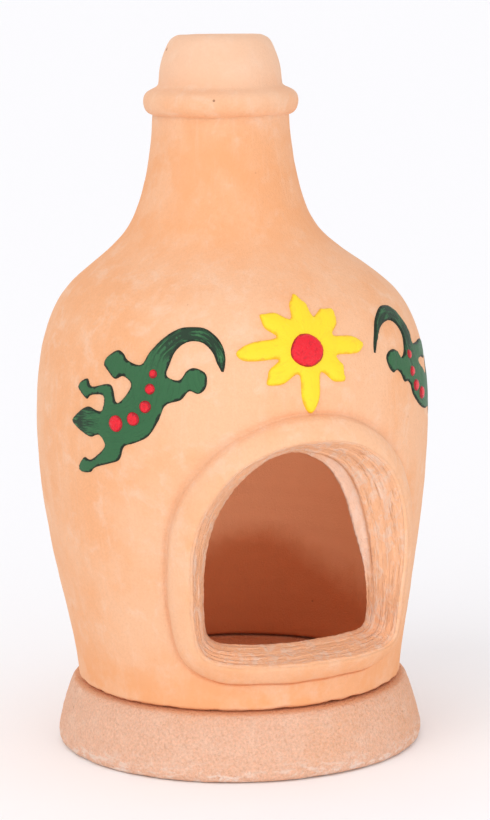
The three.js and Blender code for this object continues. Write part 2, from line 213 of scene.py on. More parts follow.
def innerEdgePoint(angle):
    inner = edgePoint(mouthShape["innerEdge"], angle)
    off = (np.degrees(angle) - mouthShape["ledgeAngle"]) / mouthShape["ledgeSpread"]
    near = np.cos(np.clip(off, -1, 1) * math.pi / 2) ** mouthShape["ledgePower"]
    cut = np.where(np.abs(off) < 1, mouthShape["ledgeCut"] * near, 0)
    middle = np.array([0, mouthShape["innerEdge"]["centre"]])
    inner = middle + (inner - middle) * (1 - cut)[:, None]
    leftSide = between(np.degrees(angle) % 360, *mouthShape["leftSide"])
    inner[:, 0] += mouthShape["leftPull"] * leftSide
    return inner


# how much of the flat ledge there is: only the mouth's right side has one
def ledgeAt(angle):
    return between(np.degrees(angle), *mouthShape["ledgeSide"])


# the mouth's cut face from the inner edge (0) to the front edge (1)
def revealShare(share, angle):
    ledge = np.interp(share, *zip(*mouthShape["ledgeShare"]))
    return share + (ledge - share) * ledgeAt(angle)


# rings from the patch's border over the band, through the cut face and along the inner wall
# each: flat place, lift, cut mask, place across the cut face, crease mask for painted shade along the band's
# outer crease
def mouthRings(border, turn, wobble, ragged):
    mouth, wall = mouthShape, potShape["wall"]

    def unevenEdge(key, points):
        slow, fine = mouth["uneven"][key]
        return points + (points - [0, mouth[key]["centre"]]) * (wobble * slow + ragged * fine)[:, None]

    inner = unevenEdge("innerEdge", innerEdgePoint(turn))
    front = unevenEdge("frontEdge", edgePoint(mouth["frontEdge"], turn))
    band = unevenEdge("bandEdge", edgePoint(mouth["bandEdge"], turn))
    riseAt, rise = np.array(mouth["bandRise"]).T
    rings = []
    for t in np.linspace(0, 1, 20)[1:-1] ** 0.6:
        lift, crease = -0.5 * smoothStep(t, 0.88, 1), smoothStep(t, 0.93, 1)
        rings.append((border + (band - border) * t, lift, 0, 1, crease))
    stretches = ((0, 0.3, 8), (0.3, 0.88, 9), (0.88, 1, 6))
    for t in np.concatenate([[0]] + [np.linspace(*stretch)[1:] for stretch in stretches]):
        lift, cut = np.interp(t, riseAt, rise), 0.5 * smoothStep(t, 0.9, 1)
        rings.append((band + (front - band) * t, lift, cut, 1, 1 - smoothStep(t, 0, 0.07)))
    for share in np.linspace(1, 0, 41)[1:]:
        lift = -wall + (rise[-1] + wall) * share
        rings.append((inner + (front - inner) * revealShare(share, turn)[:, None], lift, 1, share, 0))
    for t in np.linspace(0, 1, 16)[1:-1] ** 1.3:
        rings.append((inner + (border - inner) * t, -wall, 1 - smoothStep(t, 0, 0.05), 0, 0))
    return rings


def makePotClay():
    shape, mouth, wall = potShape, mouthShape, potShape["wall"]
    outer = [evenSteps(bezier(*shape[k]), shape["rowStep"])[:-1] for k in ("belly", "shoulder", "neck")]
    top = [evenSteps(smoothThrough(shape[k]), shape["ringStep"])[:-1] for k in ("ring", "stub")]
    flue = evenSteps(smoothThrough(shape["flue"]), shape["rowStep"])[:-1]
    outerRows = np.vstack(outer)
    slope = slopeAt(outerRows[:, 1])
    size = np.hypot(1, slope)
    innerRows = np.column_stack([outerRows[:, 0] - wall / size, outerRows[:, 1] + wall * slope / size])
    innerRows = innerRows[innerRows[:, 1] < shape["innerTop"]]
    under, footOut = shape["footHeight"], shape["belly"][0][0]
    (innerCut, innerRise), (outerCut, outerRise) = shape["innerChamfer"], shape["outerChamfer"]
    footRadii = (shape["footIn"] + innerCut, shape["footMiddle"], footOut - outerCut)
    foot = [(radius, under) for radius in footRadii]
    innerRows[0] = [shape["footIn"], under + innerRise]
    outerRows[0] = [footOut, under + outerRise]
    rows = np.vstack([outerRows, *top, flue, innerRows[::-1], foot])
    columns = shape["columns"]
    angles = (np.arange(columns) - columns // 2) * 2 * math.pi / columns
    grid = np.stack([rows[:, None, 0] * np.sin(angles) + leanAt(rows[:, 1])[:, None],
                     -rows[:, None, 0] * np.cos(angles), np.repeat(rows[:, 1:2], columns, 1)], -1)
    total = len(rows)
    low = int(np.argmin(np.abs(outerRows[:, 1] - mouth["patchLow"])))
    high = int(np.argmin(np.abs(outerRows[:, 1] - mouth["patchHigh"])))
    left, right = columns // 2 - mouth["patchColumns"], columns // 2 + mouth["patchColumns"]
    innerStart = total - len(foot) - 1  # row of the inner wall's foot
    ids = -np.ones((total, columns), int)
    used = np.ones((total, columns), bool)
    used[low + 1:high, left + 1:right] = False
    used[innerStart - high + 1:innerStart - low, left + 1:right] = False
    start = used.sum()
    ids[used] = np.arange(start)
    depth = np.zeros((total, columns))
    depth[len(outerRows) + len(top[0]) + len(top[1]):] = 1
    points, strokes = [grid[used]], [np.zeros((start, 3))]
    plain = np.zeros(start)
    masks = dict(depth=[depth[used]], cutFace=[plain], ledge=[plain], step=[plain])
    faces = []
    for i in range(total):
        n = (i + 1) % total
        for k in range(columns):
            m = (k + 1) % columns
            inPatch = left <= k < right and (low <= i < high or innerStart - high <= i < innerStart - low)
            if not inPatch:
                faces.append([ids[i, k], ids[i, m], ids[n, m], ids[n, k]])
    loop = ([(low, k) for k in range(left, right)] + [(i, right) for i in range(low, high)]
            + [(high, k) for k in range(right, left, -1)] + [(i, left) for i in range(high, low, -1)])
    count = len(loop)
    border = np.array([(angles[k] * shape["bellyTurn"], rows[i, 1]) for i, k in loop])
    turn = np.arctan2(border[:, 1] - mouth["bandEdge"]["centre"], border[:, 0])
    wobble, ragged = noiseRound(turn, 3, 4), noiseRound(turn, 30, 9)
    rings = mouthRings(border, turn, wobble, ragged)
    ledge = ledgeAt(turn)
    strokeAcross, strokeRound = mouth["strokeAcross"], mouth["strokeRound"]
    wander = 0.025 * wobble + 0.02 * ragged
    for flat, lift, cut, share, crease in rings:
        points.append(skinPoint(flat[:, 0], flat[:, 1], lift))
        masks["depth"].append(np.full(count, np.clip(-lift / wall, 0, 1)))
        masks["cutFace"].append(np.full(count, float(cut)))
        masks["ledge"].append(ledge * (1 - smoothStep(share + wander, *mouth["ledgeWide"])) * cut)
        ledgeStep = np.exp(-((share + wander - mouth["stepPlace"]) / mouth["stepWide"]) ** 2)
        # the step mask marks painted shade: at the step beside the ledge and along the band's outer crease
        masks["step"].append(ledge * ledgeStep * cut + 0.22 * crease)
        strokes.append(np.column_stack([np.full(count, share * strokeAcross), strokeRound * np.cos(turn),
                                        strokeRound * np.sin(turn)]))
    ringIds = [np.array([ids[i, k] for i, k in loop])]
    ringIds += [start + r * count + np.arange(count) for r in range(len(rings))]
    ringIds.append(np.array([ids[innerStart - i, k] for i, k in loop]))
    for a, b in zip(ringIds[:-1], ringIds[1:]):
        for j in range(count):
            n = (j + 1) % count
            faces.append([a[j], a[n], b[n], b[j]])
    faces = [[int(v) for v in face] for face in faces]
    masks = {key: np.concatenate(values) for key, values in masks.items()}
    piece = makeMesh("pot_clay", np.vstack(points), faces, masks)
    addVectors(piece, "stroke", np.vstack(strokes))
    return piece


potClay = makePotClay()
print("pot clay:", len(potClay.data.polygons), "faces")
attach(potClay, "pot")
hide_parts("pot_shell", "neck_collar", "mouth_band")

# the loose base: a thick sandy slab, radius and height pairs in mm from the underside to the flat top
baseShape = dict(
    under=[(1.5, 0.0), (44.6, 0.0)],
    side=[(44.6, 0.0), (45.8, 0.15), (46.6, 0.8), (46.95, 1.9), (46.85, 3.4), (46.4, 5.4), (45.8, 8.0),
          (45.0, 10.6), (44.2, 13.0), (43.5, 14.9), (42.7, 16.1), (41.4, 16.6)],
    top=[(41.4, 16.62), (1.5, 16.62)],
    columns=300, rowStep=0.8, flatStep=2.0, roughSide=(39, 42), floorWear=(0.05, 1.5), highest=16.72,
)


def makeBaseClay():
    shape = baseShape
    side = evenSteps(smoothThrough(shape["side"]), shape["rowStep"])
    rows = np.vstack([evenSteps(np.array(shape["under"]), shape["flatStep"])[:-1], side,
                      evenSteps(np.array(shape["top"]), shape["flatStep"])[1:]])
    columns = shape["columns"]
    angles = np.arange(columns) * 2 * math.pi / columns
    grid = np.stack([rows[:, None, 0] * np.cos(angles), rows[:, None, 0] * np.sin(angles),
                     np.repeat(rows[:, 1:2], columns, 1)], -1).reshape(-1, 3)
    points = np.vstack([grid, [[0, 0, 0], [0, 0, rows[-1, 1]]]])
    faces = []
    for i in range(len(rows) - 1):
        for k in range(columns):
            m = (k + 1) % columns
            faces.append([i * columns + k, i * columns + m, (i + 1) * columns + m, (i + 1) * columns + k])
    last = (len(rows) - 1) * columns
    for k in range(columns):
        m = (k + 1) % columns
        faces.append([len(grid), m, k])
        faces.append([len(grid) + 1, last + k, last + m])
    piece = makeMesh("base_clay", points, faces)
    points, normals = meshPoints(piece), meshNormals(piece)
    onSide = smoothStep(np.hypot(points[:, 0], points[:, 1]), *shape["roughSide"])
    push = 0.35 * lumps(points, 22, 3) + 0.12 * lumps(points, 5, 4) + 0.09 * lumps(points, 1.6, 5)
    moved = points + normals * (push * onSide - 0.12 * onSide)[:, None]
    floorWear = smoothStep(points[:, 2], *shape["floorWear"])
    moved[:, 2] = np.where(points[:, 2] < shape["floorWear"][0], 0, moved[:, 2])
    moved[:, 2] = np.clip(moved[:, 2], 0, shape["highest"])
    moved[:, :2] = points[:, :2] + (moved[:, :2] - points[:, :2]) * (0.4 + 0.6 * floorWear)[:, None]
    setPoints(piece, moved)
    return piece


baseClay = makeBaseClay()
print("base clay:", len(baseClay.data.polygons), "faces")
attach(baseClay, "base")
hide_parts("base_slab")

fingerMarks = dict(size=1.0, seed=8, stretch=(60, 60, 3.2))  # fine lines left by turning


# how far hand-made unevenness moves the pot's skin out, in mm
def skinPush(points):
    return (0.22 * lumps(points, 26, 1) + 0.10 * lumps(points, 7, 2) + 0.03 * lumps(points, 2.2, 6)
            + 0.05 * lumps(points, **fingerMarks))


# slow lumps, finger marks, a chipped foot and scraped cut faces
def roughenPot(piece):
    shape, mouth = potShape, mouthShape
    points, normals = meshPoints(piece), meshNormals(piece)
    attributes = piece.data.attributes
    cut = readOut(attributes["cutFace"].data, "value")
    depth = readOut(attributes["depth"].data, "value")
    stroke = readOut(attributes["stroke"].data, "vector", 3)
    push = skinPush(points) * (1 - 0.4 * cut)
    push += 0.12 * lumps(points, **fingerMarks) * smoothStep(depth, 0.6, 1) * (1 - cut)
    scrape = 0.16 * lumps(stroke, 1.0, 7) + 0.1 * lumps(points, 2.4, 9) + 0.06 * lumps(points, 1.1, 15)
    share = stroke[:, 0] / mouth["strokeAcross"] + 0.02 * lumps(points, 9, 16)
    grooves = sum(np.exp(-((share - middle) / mouth["grooveWidth"]) ** 2) for middle in mouth["grooves"])
    leftSide = smoothStep(-stroke[:, 1] / mouth["strokeRound"], 0.32, 0.74)
    scrape -= (0.05 + 0.3 * leftSide) * grooves * smoothStep(lumps(points, 12, 17), -0.5, 0.2)
    push += scrape * cut
    moved = points + normals * push[:, None]
    crease = sum(deep * np.exp(-((points[:, 2] - z) / width) ** 2) for deep, z, width in shape["creases"])
    moved[:, 2] += crease * (0.35 * lumps(points, 6, 13, (1, 1, 9)) + 0.15 * lumps(points, 2, 14, (1, 1, 9)))
    nearFoot = 1 - smoothStep(points[:, 2], *shape["chipZone"])
    chips = np.clip(lumps(points, 3.5, 11) + 0.1, 0, 1) * 0.55 + np.clip(lumps(points, 1.1, 12), 0, 1) * 0.25
    outerFoot = smoothStep(np.hypot(points[:, 0], points[:, 1]), *shape["outerFoot"])
    moved[:, 2] += nearFoot * chips * outerFoot
    moved[:, 2] = np.maximum(moved[:, 2], shape["lowest"])
    setPoints(piece, moved)


roughenPot(potClay)


def edgeDistance(points, outline):
    best = np.full(len(points), 1e9)
    for a, b in zip(outline, np.roll(outline, -1, axis=0)):
        along = b - a
        t = np.clip(((points - a) @ along) / max(along @ along, 1e-9), 0, 1)
        best = np.minimum(best, np.linalg.norm(points - (a + t[:, None] * along), axis=1))
    return best


def isInside(points, outline):
    crossings = np.zeros(len(points), int)
    for a, b in zip(outline, np.roll(outline, -1, axis=0)):
        spans = (a[1] > points[:, 1]) != (b[1] > points[:, 1])
        rise = (b[1] - a[1]) if b[1] != a[1] else 1e-9
        crossings += spans & (points[:, 0] < a[0] + (points[:, 1] - a[1]) * (b[0] - a[0]) / rise)
    return crossings % 2 == 1


# a raised figure: its outline is filled, laid over the pot's skin and rounded at its edges
def makeRelief(name, outline, step, low, liftAt, brushAt, shadeAt=None):
    outline = evenSteps(np.vstack([outline, outline[:1]]), step)[:-1]
    lowCorner, highCorner = outline.min(0), outline.max(0)
    inside = []
    for row, y in enumerate(np.arange(lowCorner[1], highCorner[1], step * 0.87)):
        for x in np.arange(lowCorner[0] + (row % 2) * step / 2, highCorner[0], step):
            inside.append((x, y))
    inside = np.array(inside)
    inside = inside[(edgeDistance(inside, outline) > step * 0.55) & isInside(inside, outline)]
    flat = [Vector(p) for p in np.vstack([outline, inside])]
    count = len(outline)
    filled = delaunay_2d_cdt(flat, [], [list(range(count))], 1, 1e-6, False)
    flat, faces = np.array([(v.x, v.y) for v in filled[0]]), filled[2]
    distance = edgeDistance(flat, outline)
    middles = np.array([flat[list(face)].mean(0) for face in faces])
    faces = [list(face) for face, kept in zip(faces, isInside(middles, outline)) if kept]
    sides = dict.fromkeys((a, b) for face in faces for a, b in zip(face, face[1:] + face[:1]))
    rim = [(a, b) for a, b in sides if (b, a) not in sides]
    total = len(flat)
    skin = skinPush(skinPoint(flat[:, 0], flat[:, 1], 0))
    top = skinPoint(flat[:, 0], flat[:, 1], liftAt(flat, distance) + skin)
    under = skinPoint(flat[:, 0], flat[:, 1], low)
    solid = faces + [[v + total for v in face[::-1]] for face in faces]
    solid += [[b, a, a + total, b + total] for a, b in rim]
    signed = sum((flat[f[1]][0] - flat[f[0]][0]) * (flat[f[2]][1] - flat[f[0]][1])
                 - (flat[f[2]][0] - flat[f[0]][0]) * (flat[f[1]][1] - flat[f[0]][1]) for f in faces[:50])
    if signed < 0:
        solid = [face[::-1] for face in solid]
    attributes = dict(edge=np.concatenate([distance, distance * 0]))
    if shadeAt:
        attributes["shade"] = np.tile(shadeAt(flat), 2)
    piece = makeMesh(name, np.vstack([top, under]), solid, attributes)
    addVectors(piece, "brush", np.tile(brushAt(flat), (2, 1)))
    return piece


# the geckos as measured, in mm: distance round the belly from the mouth's middle, and height
geckoShape = dict(
    left=[(-61.9, 87.9), (-59.3, 90.5), (-56.2, 92.0), (-53.3, 91.3), (-51.6, 91.6), (-51.4, 94.9),
        (-55.3, 94.8), (-57.0, 93.7), (-60.0, 95.9), (-59.8, 97.4), (-57.0, 98.7), (-55.3, 96.9),
        (-49.4, 97.9), (-47.2, 93.6), (-43.5, 97.9), (-45.8, 100.1), (-48.3, 99.3), (-50.6, 101.0),
        (-52.1, 102.5), (-51.5, 104.2), (-48.6, 106.1), (-46.6, 105.5), (-45.0, 103.9), (-41.2, 103.1),
        (-39.2, 106.2), (-35.9, 109.5), (-32.1, 111.7), (-28.5, 112.2), (-24.9, 111.8), (-21.9, 109.7),
        (-20.5, 107.3), (-20.1, 104.6), (-20.7, 101.6), (-22.0, 103.6), (-23.2, 106.2), (-25.3, 108.3),
        (-27.9, 108.9), (-30.4, 108.3), (-32.5, 106.4), (-33.7, 103.6), (-34.2, 100.8), (-31.2, 99.9),
        (-29.4, 102.1), (-27.4, 102.8), (-24.7, 101.4), (-24.7, 98.2), (-26.5, 96.7), (-28.7, 97.3),
        (-30.6, 95.2), (-34.3, 93.8), (-36.0, 90.1), (-38.6, 86.2), (-42.2, 84.3), (-45.1, 83.2),
        (-46.1, 80.6), (-47.6, 79.3), (-54.0, 77.2), (-55.8, 75.8), (-59.2, 75.6), (-59.8, 77.1),
        (-57.7, 79.4), (-55.3, 79.1), (-50.9, 82.6), (-52.1, 85.1), (-53.2, 85.3), (-55.6, 84.6),
        (-59.2, 85.9)],
    right=[(71.0, 90.4), (67.6, 93.1), (63.6, 94.3), (60.0, 93.9), (57.6, 94.2), (57.4, 96.5), (62.0, 96.7),
        (64.5, 96.0), (68.4, 97.8), (68.0, 99.3), (64.6, 100.5), (62.0, 98.8), (55.0, 98.6), (50.6, 95.0),
        (45.4, 96.8), (41.7, 99.2), (46.2, 99.6), (50.0, 98.6), (53.0, 99.4), (54.6, 101.2), (53.6, 102.9),
        (50.6, 103.7), (47.4, 103.8), (44.0, 103.6), (39.9, 104.0), (39.7, 106.8), (38.2, 110.4),
        (36.2, 112.9), (33.2, 114.0), (29.1, 113.7), (24.5, 111.4), (21.8, 108.2), (20.4, 105.4),
        (20.1, 102.5), (21.2, 104.6), (22.8, 107.0), (24.8, 108.9), (27.4, 110.1), (30.8, 110.5),
        (33.4, 109.4), (34.7, 107.2), (34.4, 104.8), (33.3, 102.7), (31.2, 101.5), (30.1, 103.0),
        (28.1, 103.9), (25.8, 103.5), (24.4, 102.4), (24.5, 100.8), (25.3, 99.2), (26.7, 98.3),
        (28.3, 98.7), (29.9, 97.6), (31.3, 95.5), (33.3, 95.3), (34.6, 94.2), (35.4, 92.1), (38.0, 89.6),
        (41.2, 87.8), (45.6, 86.6), (51.6, 86.0), (55.0, 83.6), (59.6, 81.6), (63.0, 79.6), (67.4, 79.2),
        (68.4, 81.0), (65.8, 83.2), (62.4, 83.4), (59.5, 85.8), (60.4, 87.7), (62.4, 88.4), (65.6, 87.6),
        (69.0, 88.8)],
    leftSpine=[(-61.6, 87.7), (-52.4, 88.2), (-47.2, 88.7), (-42.4, 90.2), (-39.3, 93.3), (-38.2, 97.5),
        (-37.0, 104.3), (-35.2, 107.1), (-31.4, 110.0), (-27.9, 110.6), (-24.9, 110.1), (-22.7, 108.1),
        (-21.3, 105.4), (-20.7, 101.6)],
    rightSpine=[(70.8, 90.5), (61.5, 91.2), (52.5, 90.7), (45.4, 91.8), (40.4, 95.2), (38.0, 99.5),
        (37.0, 104.4), (36.4, 108.6), (34.2, 111.6), (30.6, 112.2), (26.4, 110.8), (23.2, 108.6),
        (21.2, 106.0), (20.4, 103.6)],
    leftSpots=[(-47.2, 88.7, 2.0), (-42.4, 90.2, 1.65), (-39.3, 93.3, 1.5), (-38.2, 97.5, 1.3),
        (-37.6, 101.1, 1.05)],
    rightSpots=[(58.5, 90.4, 1.9), (40.8, 91.4, 1.6), (37.2, 93.8, 1.5), (35.5, 97.5, 1.3),
        (35.2, 101.7, 1.1)],
    step=0.4, rise=0.42, crown=0.15, crownReach=1.6, edgeRound=0.35,
    uneven=0.05, unevenSize=2.5, unevenSeed=3.0, spineStep=0.5,
    tailAlong=(30.0, 46.0), tailAcross=(2.2, 3.2), headAlong=(4.0, 11.0), headAcross=(4.0, 6.0), headShade=0.9,
    thinFrom=43.0, thinTo=51.0, thinBy=0.65, paintLow=-0.45, brushScale=(0.22, 2.0, 0.05),
    farSide=50.0,  # a spot beyond this lies low, past the turn of the belly
)


# how thick brushed paint lies: round at its edge, fuller in the middle and a little uneven
def paintLift(shape, flat, distance):
    near = np.clip(distance / shape["edgeRound"], 0, 1)
    lift = shape["rise"] * np.sqrt(1 - (1 - near) ** 2)
    lift += shape["crown"] * (1 - np.exp(-distance / shape["crownReach"]))
    return lift + shape["uneven"] * noiseOver(flat, shape["unevenSize"], shape["unevenSeed"]) * near


def makeGecko(name, word):
    shape = geckoShape
    outline = closedSmooth(shape[word])
    spine = evenSteps(smoothThrough(shape[word + "Spine"]), shape["spineStep"])

    def liftAt(flat, distance):
        thin = 1 - shape["thinBy"] * smoothStep(flat[:, 0], shape["thinFrom"], shape["thinTo"])
        return -0.05 + paintLift(shape, flat, distance) * thin

    def alongSpine(flat):
        gap = np.linalg.norm(flat[:, None] - spine[None], axis=2)
        return gap.argmin(1) * shape["spineStep"], gap.min(1)

    def brushAt(flat):
        along, gap = alongSpine(flat)
        return np.column_stack([along, gap, flat[:, 0]]) * shape["brushScale"]

    # darker paint on the head and the tail, 0 to 1
    def shadeAt(flat):
        along, gap = alongSpine(flat)
        tail = smoothStep(along, *shape["tailAlong"]) * (1 - smoothStep(gap, *shape["tailAcross"]))
        head = (1 - smoothStep(along, *shape["headAlong"])) * (1 - smoothStep(gap, *shape["headAcross"]))
        return np.maximum(tail, shape["headShade"] * head)

    return makeRelief(name, outline, shape["step"], shape["paintLow"], liftAt, brushAt, shadeAt)


# an eight-pointed sun in mm from its centre: each tip with how blunt it is, and the valley after it
sunShape = dict(
    tips=[(1.3, 13.0, 1.1), (11.0, 8.9, 1.9), (16.9, 0.3, 1.6), (9.7, -7.6, 1.3), (0.0, -14.7, 1.5),
          (-10.5, -7.3, 1.3), (-17.6, 0.0, 1.5), (-10.6, 8.7, 1.0)],
    valleys=[(4.1, 7.7), (8.2, 3.2), (8.0, -1.6), (3.1, -5.2), (-2.6, -5.3), (-7.3, -1.6), (-7.2, 3.5),
             (-2.5, 7.5)],
    centre=(0.0, 106.0), step=0.45, paintLow=-0.45, rayBulge=1.1, brushScale=(7.0, 7.0, 0.35),
    rise=0.55, crown=0.75, crownReach=1.5, edgeRound=0.5, uneven=0.09, unevenSize=1.8, unevenSeed=8.0,
    boss=dict(across=-0.2, height=106.0, radius=3.85, low=0.9, rise=1.4, seed=4, step=0.35, wide=1.12),
)


def makeSun():
    shape = sunShape
    outline = []
    for i, (x, y, blunt) in enumerate(shape["tips"]):
        tip = np.array([x, y])
        away = tip / math.hypot(x, y)
        across = np.array([-away[1], away[0]])
        before, after = np.array(shape["valleys"][i - 1]), np.array(shape["valleys"][i])
        outline += [before, (before * 0.45 + tip * 0.55) + across * shape["rayBulge"],
                    tip - away * blunt + across * blunt, tip, tip - away * blunt - across * blunt,
                    (after * 0.45 + tip * 0.55) - across * shape["rayBulge"]]
    outline = closedSmooth(np.array(outline), 5) + np.array(shape["centre"])

    def liftAt(flat, distance):
        return -0.05 + paintLift(shape, flat, distance)

    def brushAt(flat):
        away = flat - shape["centre"]
        reach = np.linalg.norm(away, axis=1)
        unit = away / np.maximum(reach, 0.01)[:, None]
        return np.column_stack([unit, reach]) * shape["brushScale"]

    return makeRelief("sun_paint", outline, shape["step"], shape["paintLow"], liftAt, brushAt)


# a drop of paint, thick in the middle; wide stretches it sideways
def makeDot(name, across, height, radius, low, rise, seed, step=0.25, wide=1.0):
    turn = np.linspace(0, 2 * math.pi, 40, endpoint=False)
    size = radius * (1 + 0.07 * noiseRound(turn, 1, seed * 3.7))
    outline = np.column_stack([across + wide * size * np.cos(turn), height + size * np.sin(turn)])

    def liftAt(flat, distance):
        near = np.clip(distance / (radius * 0.8), 0, 1)
        uneven = noiseOver(flat, 1.3, seed * 1.9)
        return low + rise * np.sqrt(1 - (1 - near) ** 2.4) + 0.12 * rise * uneven * near

    def brushAt(flat):
        return np.column_stack([flat, np.full(len(flat), seed)])

    return makeRelief(name, outline, step, low - 0.5, liftAt, brushAt)


def place(piece, node):
    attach(piece, "pot")
    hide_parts(node)
    return piece


geckos, redDots = [], []
for word, seed in (("left", 6), ("right", 26)):
    geckos.append(place(makeGecko("gecko_paint_" + word, word), "gecko_" + word))
    for i, (x, y, radius) in enumerate(geckoShape[word + "Spots"]):
        low, rise = (0.5, 0.55 - 0.05 * i) if x < geckoShape["farSide"] else (0.05, 0.2)
        dot = makeDot(f"spot_paint_{word}_{i + 1}", x, y, radius, low, rise, i + seed)
        redDots.append(place(dot, f"gecko_{word}_spot_{i + 1}"))
sun = place(makeSun(), "sun_rays")
boss = place(makeDot("sun_boss_paint", **sunShape["boss"]), "sun_centre")
print("reliefs:", sum(len(p.data.polygons) for p in geckos + redDots + [sun, boss]), "faces")


# from screen colours, 0 to 255
def rgb(red, green, blue):
    return tuple(c / 12.92 if c <= 0.04045 else ((c + 0.055) / 1.055) ** 2.4
                 for c in (red / 255, green / 255, blue / 255)) + (1.0,)


# builds a shader node, sets its plain inputs and links the rest
def addNode(tree, kind, inputs=None, **settings):
    node = tree.nodes.new(kind)
    for key, value in settings.items():
        setattr(node, key, value)
    for key, value in (inputs or {}).items():
        if isinstance(value, bpy.types.NodeSocket):
            tree.links.new(value, node.inputs[key])
        else:
            node.inputs[key].default_value = value
    return node


def startGroup(name, inputs, outputs):
    group = bpy.data.node_groups.new(name, "ShaderNodeTree")
    for key, kind, value in inputs:
        socket = group.interface.new_socket(name=key, in_out="INPUT", socket_type="NodeSocket" + kind)
        if value is not None:
            socket.default_value = value
    for key, kind in outputs:
        group.interface.new_socket(name=key, in_out="OUTPUT", socket_type="NodeSocket" + kind)
    return group, group.nodes.new("NodeGroupInput").outputs, group.nodes.new("NodeGroupOutput").inputs


def calc(tree, operation, *values):
    return addNode(tree, "ShaderNodeMath", dict(enumerate(values)), operation=operation).outputs[0]


def times(tree, result, *others):
    for other in others:
        result = calc(tree, "MULTIPLY", result, other)
    return result


def plus(tree, a, b):
    return calc(tree, "ADD", a, b)


def minus(tree, a, b):
    return calc(tree, "SUBTRACT", a, b)


def ramp(tree, value, low, high):
    return addNode(tree, "ShaderNodeMapRange", {"Value": value, "From Min": low, "From Max": high},
                   interpolation_type="SMOOTHSTEP").outputs["Result"]


def mixColour(tree, amount, a, b, blend="MIX"):
    node = addNode(tree, "ShaderNodeMix", {0: amount, 6: a, 7: b}, data_type="RGBA", blend_type=blend)
    return node.outputs[2]


# lays one colour over another as far as the product of the masks
def layOver(tree, colour, over, *masks):
    return mixColour(tree, times(tree, *masks), colour, over)


def noiseAt(tree, vector, scale, detail=3.0, roughness=0.55, distortion=0.0):
    settings = {"Vector": vector, "Scale": scale, "Detail": detail, "Roughness": roughness,
                "Distortion": distortion}
    return addNode(tree, "ShaderNodeTexNoise", settings).outputs["Fac"]


def vectorCalc(tree, operation, a, b=(0, 0, 0), result="Vector"):
    return addNode(tree, "ShaderNodeVectorMath", {0: a, 1: b}, operation=operation).outputs[result]


def heightOf(tree, vector):
    return addNode(tree, "ShaderNodeSeparateXYZ", {0: vector}).outputs[2]


# fired clay's colour: orange blush in slow patches, pale bloom in smaller ones, a fine speckle
def buildFiredTone():
    group, given, result = startGroup("firedTone", [
        ("Vector", "Vector", None), ("Body", "Color", (0.8, 0.5, 0.3, 1)),
        ("Blush", "Color", (0.8, 0.4, 0.2, 1)), ("Bloom", "Color", (0.9, 0.7, 0.6, 1)),
        ("Blush Amount", "Float", 0.5), ("Bloom Amount", "Float", 0.3), ("Speckle", "Float", 0.1)],
        [("Color", "Color")])
    slow = noiseAt(group, given["Vector"], 0.035, 4, 0.6)
    colour = layOver(group, given["Body"], given["Blush"], ramp(group, slow, 0.42, 0.66),
                     given["Blush Amount"])
    patch = noiseAt(group, given["Vector"], 0.16, 6, 0.65, 0.4)
    colour = layOver(group, colour, given["Bloom"], ramp(group, patch, 0.48, 0.74), given["Bloom Amount"])
    fine = noiseAt(group, given["Vector"], 1.6, 4, 0.7)
    shade = calc(group, "MULTIPLY_ADD", minus(group, fine, 0.5), given["Speckle"], 1.0)
    grey = addNode(group, "ShaderNodeCombineColor", {"Red": shade, "Green": shade, "Blue": shade}).outputs[0]
    group.links.new(mixColour(group, 1.0, colour, grey, "MULTIPLY"), result["Color"])
    return group


# sand in the clay: a bump height, and pin-holes as a mask for painted shade
def buildSandGrain():
    group, given, result = startGroup("sandGrain", [
        ("Vector", "Vector", None), ("Grain Scale", "Float", 2.0), ("Pit Scale", "Float", 0.2),
        ("Pit Size", "Float", 0.07)], [("Height", "Float"), ("Pits", "Float")])
    grains = addNode(group, "ShaderNodeTexVoronoi",
                     {"Vector": given["Vector"], "Scale": given["Grain Scale"]})
    soft = noiseAt(group, given["Vector"], given["Grain Scale"], 4, 0.65)
    cells = addNode(group, "ShaderNodeTexVoronoi", {"Vector": given["Vector"], "Scale": given["Pit Scale"]})
    near = calc(group, "DIVIDE", cells.outputs["Distance"], given["Pit Size"])
    keep = addNode(group, "ShaderNodeSeparateColor", {"Color": cells.outputs["Color"]}).outputs[0]
    pits = times(group, minus(group, 1.0, ramp(group, near, 0.5, 1.0)), ramp(group, keep, 0.55, 0.6))
    height = plus(group, times(group, grains.outputs["Distance"], 0.35), soft)
    group.links.new(minus(group, height, times(group, pits, 1.6)), result["Height"])
    group.links.new(pits, result["Pits"])
    return group


# pale dust and scuffs, drawn out along one direction
def buildPaleScuff():
    group, given, result = startGroup("paleScuff", [
        ("Vector", "Vector", None), ("Stretch", "Vector", (1, 1, 1)), ("Low", "Float", 0.5),
        ("High", "Float", 0.7)], [("Mask", "Float"), ("Height", "Float")])
    along = vectorCalc(group, "MULTIPLY", given["Vector"], given["Stretch"])
    marks = noiseAt(group, along, 1.0, 6, 0.7, 0.6)
    group.links.new(ramp(group, marks, given["Low"], given["High"]), result["Mask"])
    group.links.new(marks, result["Height"])
    return group
